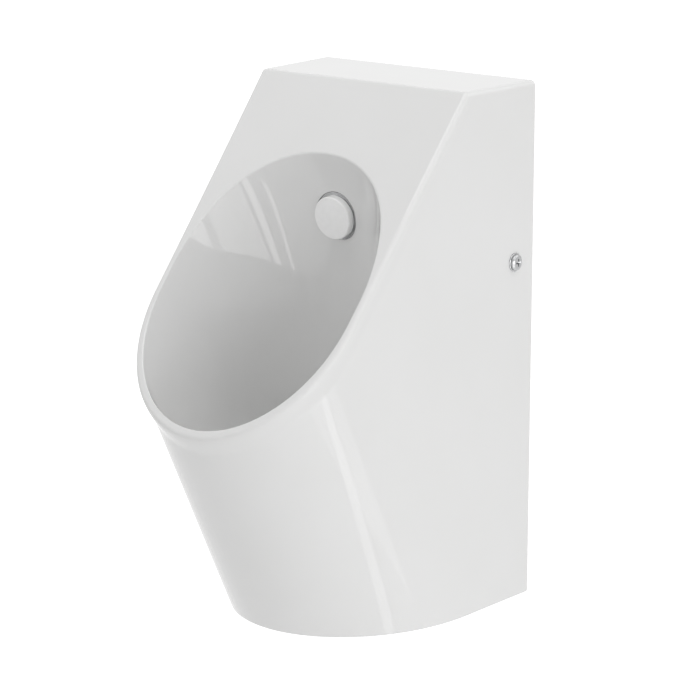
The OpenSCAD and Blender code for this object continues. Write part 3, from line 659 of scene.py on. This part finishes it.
def rounded(outline):
    """The outline's points in metres, with its corners that have a radius as arcs."""
    points = []
    for i, corner in enumerate(outline):
        here = Vector(corner[:2])
        before = Vector(outline[i - 1][:2]) - here
        after = Vector(outline[(i + 1) % len(outline)][:2]) - here
        radius = corner[2] if len(corner) > 2 else 0
        if not radius:
            points.append(here * MM)
            continue
        half = before.angle(after) / 2
        reach = min(radius / math.tan(half), before.length * MOST_OF_AN_EDGE,
                    after.length * MOST_OF_AN_EDGE)
        radius = reach * math.tan(half)
        inward = (before.normalized() + after.normalized()).normalized()
        middle = inward * (radius / math.sin(half))
        first = before.normalized() * reach - middle
        last = after.normalized() * reach - middle
        sweep = first.angle(last)
        for j in range(ARC_STEPS + 1):
            share = j / ARC_STEPS
            spoke = first * math.sin((1 - share) * sweep) + last * math.sin(share * sweep)
            points.append((here + middle + spoke / math.sin(sweep)) * MM)
    return points


def circle(bm, place, r, h, count):
    """A ring of vertices round the frame's Z, at radius r and height h."""
    turns = [TURN * i / count for i in range(count)]
    return [bm.verts.new(place @ Vector((r * math.cos(a), r * math.sin(a), h))) for a in turns]


def lathe(name, outline, place):
    """Turns a closed outline round the frame's Z."""
    bm = bmesh.new()
    rings = [circle(bm, place, p.x, p.y, ROUND if p.x > ON_AXIS else 1) for p in rounded(outline)]
    for lower, upper in zip(rings, rings[1:] + rings[:1]):
        if len(lower) == len(upper) == 1:
            continue
        for i in range(ROUND):
            corners = (lower[i % len(lower)], lower[(i + 1) % len(lower)],
                       upper[(i + 1) % len(upper)], upper[i % len(upper)])
            bm.faces.new(list(dict.fromkeys(corners)))
    return to_object(name, bm)


def threaded(name, r, pitch, low, high, bore, place):
    """A threaded tube or, with no bore, a threaded rod. Its first and last turns run out."""
    count = int((high - low) / pitch * THREAD_PER_TURN)
    bm = bmesh.new()
    rings = []
    for i in range(count + 1):
        h = low + (high - low) * i / count
        runout = min(1, (high - h) / pitch, (h - low) / pitch)
        ring = []
        for j in range(THREAD_ROUND):
            # The groove is 0 on the crest and 1 at the root, with straight flanks between
            phase = (h / pitch - j / THREAD_ROUND) % 1
            groove = min(1, max(0, FLANK_START - abs(phase - 0.5) * FLANK_SLOPE)) * runout
            drop = THREAD_DEPTH_SHARE * pitch * groove
            radius = (r - drop - RUNOUT_DROP * (1 - runout)) * MM
            a = TURN * j / THREAD_ROUND
            spot = Vector((radius * math.cos(a), radius * math.sin(a), h * MM))
            ring.append(bm.verts.new(place @ spot))
        rings.append(ring)
    if bore:
        rings += [circle(bm, place, bore * MM, h * MM, THREAD_ROUND) for h in (high, low)]
    for lower, upper in zip(rings, rings[1:] + (rings[:1] if bore else [])):
        join_rings(bm, lower, upper)
    if not bore:
        bm.faces.new(rings[0])
        bm.faces.new(rings[-1])
    return to_object(name, bm)


def hexagon(name, width, low, high, bore, place):
    """A hexagon nut with its corners turned off and a bore with chamfered ends."""
    corner = width / math.sqrt(3)
    bm = bmesh.new()
    middle = place @ Matrix.Translation((0, 0, (low + high) / 2 * MM))
    bmesh.ops.create_cone(bm, cap_ends=True, segments=6, radius1=corner * MM,
                          radius2=corner * MM, depth=(high - low) * MM, matrix=middle)
    nut = to_object(name, bm)
    face_r, past_r, drop = width / 2 - 0.2, corner + 0.2, (corner - width / 2) * 0.6
    keep = lathe("keep", [
        (0, low), (face_r, low, 0.3), (past_r, low + drop), (past_r, high - drop),
        (face_r, high, 0.3), (0, high)], place)
    step = nut.modifiers.new("turned", "BOOLEAN")
    step.operation, step.solver, step.object = "INTERSECT", "EXACT", keep
    applied(nut)
    bpy.data.objects.remove(keep)
    wide = bore + 1.6
    hole = lathe("hole", [
        (0, low - 1), (wide, low - 1), (bore, low + 0.6), (bore, high - 0.6), (wide, high + 1),
        (0, high + 1)], place)
    return cut(nut, hole)


def joined(obj, *others):
    """Adds the other solids to obj and deletes them."""
    for other in others:
        step = obj.modifiers.new("join", "BOOLEAN")
        step.operation, step.solver, step.object = "UNION", "EXACT", other
    applied(obj)
    for other in others:
        bpy.data.objects.remove(other)
    return obj


def softened(node, width):
    """A copy of a CAD solid whose sharp edges are broken by a width in mm."""
    bm = bmesh.new()
    bm.from_mesh(frame["nodes"][node].data)
    bmesh.ops.remove_doubles(bm, verts=bm.verts, dist=WELD)
    bmesh.ops.dissolve_limit(bm, angle_limit=FLAT, verts=bm.verts, edges=bm.edges)
    obj = to_object(node + "_soft", bm)
    step = obj.modifiers.new("edges", "BEVEL")
    step.width, step.segments = width * MM, 2
    step.limit_method, step.angle_limit = "ANGLE", CREASE
    return smooth(applied(obj), 30)


def stands_for(piece, node):
    """Gives a piece the finish and the body of the CAD node that it replaces."""
    dress(piece, slot_of[node])
    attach(piece, body_of[node])
    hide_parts(node)


# The fittings


def spray_cap():
    """A round cap with a skirt, and a socket that sits on the stub."""
    return smooth(lathe("cap_disc", [
        (0, 11.7), (23.6, 11.65, 0.6), (24.5, 10.4, 0.6), (24.5, 2.8, 0.3), (22.3, 2.8, 0.3),
        (22.3, 9.5, 1.5), (10.85, 9.5, 0.6), (10.85, 6, 0.3), (9.05, 6, 0.3), (9.05, 9.5),
        (0, 9.5)], SPRAY))


def spray_body():
    """The flange has fine rings turned into its face, and the tail is threaded."""
    rings = []
    for i in range(9):
        r = 15 + 1.2 * i
        rings += [(r, 1.7), (r + 0.35, 1.9), (r + 0.75, 1.9), (r + 1.1, 1.7)]
    stub = [(PIPE_BORE, -3), (PIPE_BORE, 7.8, 0.3), (0, 7.8), (0, 9.3), (9, 9.3, 0.5),
            (9, 1.7, 0.2)]
    edge = [(26.6, 2, 0.3), (27.5, 2, 0.7), (27.5, 0, 0.3), (PIPE_R, 0), (PIPE_R, -3)]
    body = lathe("spray_flange", stub + rings + edge, SPRAY)
    # A bore just narrower than the flange's keeps the two bores' faces apart in the union
    tail = threaded("spray_tail", PIPE_R, PIPE_PITCH, -48, -2.5, PIPE_BORE - 0.05, SPRAY)
    ports_at = SPRAY @ Vector((0, 0, 3.7 * MM))
    ports = []
    for i in range(4):
        a = 45 * DEG * i
        across = SPRAY.to_3x3() @ Vector((math.cos(a), math.sin(a), 0))
        ports.append(rod(ports_at, across, SPRAY_PORT))
    return smooth(joined(cut(body, *ports), tail))


def strainer():
    """A gently domed plate with rings of holes."""
    plate = lathe("strainer_plate", [
        (0, 156.2), (8, 156.14), (16, 155.74), (24, 154.7), (30, 154.7, 0.4), (30, 156.2, 0.6),
        (24, 156.2), (16, 157.24), (8, 157.64), (0, 157.7)], WASTE)
    ring_gap, hole_r, through = 7.6, 2.3 * MM, 20 * MM
    holes = [(0, 0)]
    for row in range(1, 4):
        for i in range(6 * row):
            a = 60 * DEG * i / row
            holes.append((ring_gap * row * math.cos(a), ring_gap * row * math.sin(a)))
    bm = bmesh.new()
    for x, y in holes:
        middle = WASTE @ Matrix.Translation((x * MM, y * MM, 156 * MM))
        bmesh.ops.create_cone(bm, cap_ends=True, segments=HOLE_ROUND, radius1=hole_r,
                              radius2=hole_r, depth=through, matrix=middle)
    return smooth(cut(plate, to_object("holes", bm)), 50)


def waste_flange():
    """The ring in the bowl's floor, with a seat for the strainer and a tail."""
    return smooth(lathe("waste_ring", [
        (21.5, 122), (21.5, 154.5, 0.6), (30.3, 154.5, 0.2), (30.3, 156, 0.35), (35, 156, 1.4),
        (35, 153, 0.3), (23.9, 153), (23.9, 141), (23.1, 141), (23.1, 119, 0.5), (18.55, 119),
        (18.55, 122, 0.3)], WASTE))


def trap_insert():
    """The dip tube with the collar that it hangs from."""
    return smooth(lathe("insert_tube", [
        (16, 39.45, 0.5), (16, 135.2, 0.9), (18, 135.2, 0.9), (18, 125.2, 0.5),
        (20.95, 125.2, 0.6), (20.95, 122.2, 0.6), (18, 122.2, 0.4), (18, 39.45, 0.8)], WASTE))


def side_screw(name, side):
    """A pan head with a tapered cross recess on a threaded shank."""
    out = side_axis(side)
    head = lathe(name, [
        (SCREW_R, 135), (SCREW_R, 149.4), (SCREW_R, 149.965), (9.25, 149.965, 0.5),
        (9.25, 152.4, 1.6), (6.6, 154.265, 4.5), (0, 154.265), (0, 135)], out)
    bm = bmesh.new()
    rings = []
    # The cross at the recess's bottom and top: height, reach of its arms and half their width
    for h, reach, width in ((151.6, 1.9, 0.55), (154.4, 4.85, 1.05)):
        corners = []
        for i in range(4):
            c, s = math.cos(QUARTER * i), math.sin(QUARTER * i)
            for x, y in ((width, width), (reach, width), (reach, -width)):
                corners.append((x * c + y * s, x * s - y * c))
        corners.sort(key=lambda p: math.atan2(p[1], p[0]))
        rings.append([bm.verts.new(out @ Vector((x * MM, y * MM, h * MM))) for x, y in corners])
    join_rings(bm, rings[0], rings[1])
    bm.faces.new(rings[0])
    bm.faces.new(rings[1])
    head = cut(head, to_object("recess", bm))
    shank = threaded("shank", SCREW_R, SCREW_PITCH, 120.6, 137, 0, out)
    return smooth(joined(head, shank))


def side_collar(name, side):
    """The chrome washer under the screw's head."""
    return smooth(lathe(name, [
        (4.55, 148.265, 0.2), (4.55, 149.765, 0.2), (9.4, 149.765, 0.3), (10.25, 149.2, 0.4),
        (10.25, 148.265, 0.2)], side_axis(side)))


def side_bush(name, side):
    """The plastic bush in the ceramic's side hole."""
    return smooth(lathe(name, [
        (4.55, 134.1, 0.5), (4.55, 148.265, 0.4), (7.5, 148.265, 0.6), (7.5, 139.1, 0.4),
        (15, 139.1, 0.8), (15, 134.1, 0.8)], side_axis(side)))


def wall_nipple():
    """The inlet's hexagon on the wall, with a thread that goes into it."""
    place = wall_axis(INLET_H)
    collar = hexagon("nipple_hex", 30, -12, 0, 8.05, place)
    thread = threaded("nipple_thread", PIPE_R, PIPE_PITCH, -0.5, 22, PIPE_BORE, place)
    return smooth(joined(collar, thread))


def outlet_pipe():
    """The outlet's pipe, with a bead for its nut and a wider end in the wall."""
    return smooth(lathe("drain_pipe", [
        (18, -154, 0.4), (18, 45, 0.8), (20, 45, 1.2), (20, -3), (22, -3, 1), (22, -6, 1),
        (20, -6), (20, -154, 0.6)], wall_axis(OUTLET_H)))


# The pieces
record = frame["record"]
slot_of = {entry["node"]: entry["material_slot"] for entry in record["subparts"]}
body_of = {}
for body, nodes in record["behaviour"]["bodies"].items():
    for node in nodes:
        body_of[node] = body

# CAD nodes that need no more than broken edges, and how wide in mm
SOFTENED = {
    "spray_gasket": 0.4, "spray_washer": 0.5, "spray_lock_nut": 0.4, "inlet_seal": 0.2,
    "inlet_union_nut": 0.4, "inlet_pipe": 0.25, "waste_gasket": 0.3, "trap_top_gasket": 0.3,
    "trap_body": 1, "outlet_nut": 0.8, "outlet_seal": 0.4,
}

stands_for(make_ceramic(), "ceramic_body")
stands_for(spray_cap(), "spray_cap")
stands_for(spray_body(), "spray_body")
stands_for(strainer(), "strainer")
stands_for(waste_flange(), "waste_flange")
stands_for(trap_insert(), "trap_insert")
stands_for(wall_nipple(), "wall_nipple")
stands_for(outlet_pipe(), "outlet_pipe")
for side, word in ((-1, "left"), (1, "right")):
    stands_for(side_screw("cross_screw_" + word, side), "side_screw_" + word)
    stands_for(side_collar("turned_collar_" + word, side), "side_collar_" + word)
    stands_for(side_bush("flanged_bush_" + word, side), "side_bush_" + word)
    stands_for(softened("wall_bracket_" + word, 0.5), "wall_bracket_" + word)
    stands_for(softened("bracket_nut_" + word, 0.3), "bracket_nut_" + word)
for node, width in SOFTENED.items():
    stands_for(softened(node, width), node)

# The CAD nodes that stay, such as the insert's rubber ring, get their finish too
for node, obj in frame["nodes"].items():
    dress(obj, slot_of[node])


# Floor, light and camera
FLOOR_Z, FLOOR_HALF = -1.55, 30
FLOOR_COLOUR = (0.8, 0.8, 0.8)
FLOOR_GLOW, FLOOR_GLOW_MORE = 0.58, 0.1
WHITE = (1, 1, 1, 1)
WORLD_LEVEL = 0.54
LIT = Vector((0, -0.2, -0.12))
CAMERA_AT = (1.8755, -2.5017, 0.6575)
CAMERA_AIM = Vector((0.00735, -0.150, -0.0999))
LENS, SENSOR = 142.19, 36

# Large panels round the object: azimuth and elevation in degrees, distance, size and power
PANELS = [
    (0, 85, 2.3, (1.8, 1.8), 17.2),
    (90, 38, 2.4, (1.4, 1.2), 3.1),
    (135, 38, 2.4, (1.4, 1.2), 3.4),
    (60, 0, 2.5, (1.1, 1.3), 5.2),
    (90, 0, 2.5, (1.1, 1.3), 7.8),
    (-30, 5, 2.6, (1.5, 1.3), 4.5),
    (5, 10, 2.6, (1.5, 1.2), 2.0),
    (60, -28, 2.3, (1.2, 0.9), 3.4),
    (90, -28, 2.3, (1.2, 0.9), 2.3),
]
# Narrow strips whose mirror images are the streaks on the glaze. The last one is rolled.
STRIPS = [
    (43, -11, 2.6, (0.2, 0.6), 0.8),
    (31, -16, 2.6, (0.13, 0.6), 0.45),
    (90.5, -40, 1.4, (0.09, 0.6), 0.18, -12),
]


def shown(tree):
    """1 for the rays that see the background: straight, mirrored or through glass."""
    path = tree.nodes.new("ShaderNodeLightPath")
    value = path.outputs["Is Camera Ray"]
    for other in ("Is Glossy Ray", "Is Transmission Ray"):
        step = tree.nodes.new("ShaderNodeMath")
        step.operation = "MAXIMUM"
        tree.links.new(value, step.inputs[0])
        tree.links.new(path.outputs[other], step.inputs[1])
        value = step.outputs[0]
    return value


def make_floor():
    """A pale floor. Its glow is seen straight and in mirror images, and lights nothing."""
    bm = bmesh.new()
    bmesh.ops.create_grid(bm, x_segments=1, y_segments=1, size=FLOOR_HALF,
                          matrix=Matrix.Translation((0, 0, FLOOR_Z)))
    floor = to_object("floor", bm)
    material, shader = plain("floor", FLOOR_COLOUR, 0.9)
    tree = material.node_tree
    add = tree.nodes.new("ShaderNodeAddShader")
    mix = tree.nodes.new("ShaderNodeMixShader")
    glow = tree.nodes.new("ShaderNodeEmission")
    level = tree.nodes.new("ShaderNodeMath")
    level.operation = "MULTIPLY_ADD"
    level.inputs[1].default_value = FLOOR_GLOW_MORE
    level.inputs[2].default_value = FLOOR_GLOW
    path = tree.nodes.new("ShaderNodeLightPath")
    tree.links.new(path.outputs["Is Camera Ray"], level.inputs[0])
    tree.links.new(level.outputs[0], glow.inputs["Strength"])
    tree.links.new(shader.outputs[0], add.inputs[0])
    tree.links.new(glow.outputs[0], add.inputs[1])
    tree.links.new(shown(tree), mix.inputs[0])
    tree.links.new(shader.outputs[0], mix.inputs[1])
    tree.links.new(add.outputs[0], mix.inputs[2])
    tree.links.new(mix.outputs[0], tree.nodes["Material Output"].inputs["Surface"])
    floor.data.materials.append(material)


def make_world():
    """White to the rays that see the background, and a plain level of light to the rest."""
    world = bpy.data.worlds.new("studio")
    bpy.context.scene.world = world
    world.use_nodes = True
    tree = world.node_tree
    tree.nodes.clear()
    out = tree.nodes.new("ShaderNodeOutputWorld")
    white = tree.nodes.new("ShaderNodeBackground")
    white.inputs["Color"].default_value = WHITE
    white.inputs["Strength"].default_value = 1
    lit = tree.nodes.new("ShaderNodeBackground")
    lit.inputs["Color"].default_value = WHITE
    lit.inputs["Strength"].default_value = WORLD_LEVEL
    mix = tree.nodes.new("ShaderNodeMixShader")
    tree.links.new(shown(tree), mix.inputs[0])
    tree.links.new(lit.outputs[0], mix.inputs[1])
    tree.links.new(white.outputs[0], mix.inputs[2])
    tree.links.new(mix.outputs[0], out.inputs["Surface"])


def softbox(azimuth, elevation, distance, size, power, roll=0):
    """A soft lamp facing the object, placed by its angles from straight ahead and from level."""
    data = bpy.data.lights.new("softbox", "AREA")
    data.shape, data.energy = "RECTANGLE", power
    data.size, data.size_y = size
    lamp = bpy.data.objects.new("softbox", data)
    bpy.context.scene.collection.objects.link(lamp)
    level = math.cos(elevation * DEG)
    away = Vector((math.sin(azimuth * DEG) * level, -math.cos(azimuth * DEG) * level,
                   math.sin(elevation * DEG)))
    lamp.location = LIT + away * distance
    facing = (-away).to_track_quat("-Z", "Y").to_matrix() @ Matrix.Rotation(roll * DEG, 3, "Z")
    lamp.rotation_euler = facing.to_euler()


def make_camera():
    """A camera at the photograph's viewing angle."""
    data = bpy.data.cameras.new("camera")
    data.lens, data.sensor_width = LENS, SENSOR
    camera = bpy.data.objects.new("camera", data)
    bpy.context.scene.collection.objects.link(camera)
    camera.location = CAMERA_AT
    camera.rotation_euler = (CAMERA_AIM - camera.location).to_track_quat("-Z", "Y").to_euler()
    bpy.context.scene.camera = camera


make_floor()
make_world()
for lamp in PANELS + STRIPS:
    softbox(*lamp)
make_camera()
bpy.context.scene.view_settings.view_transform = "Standard"
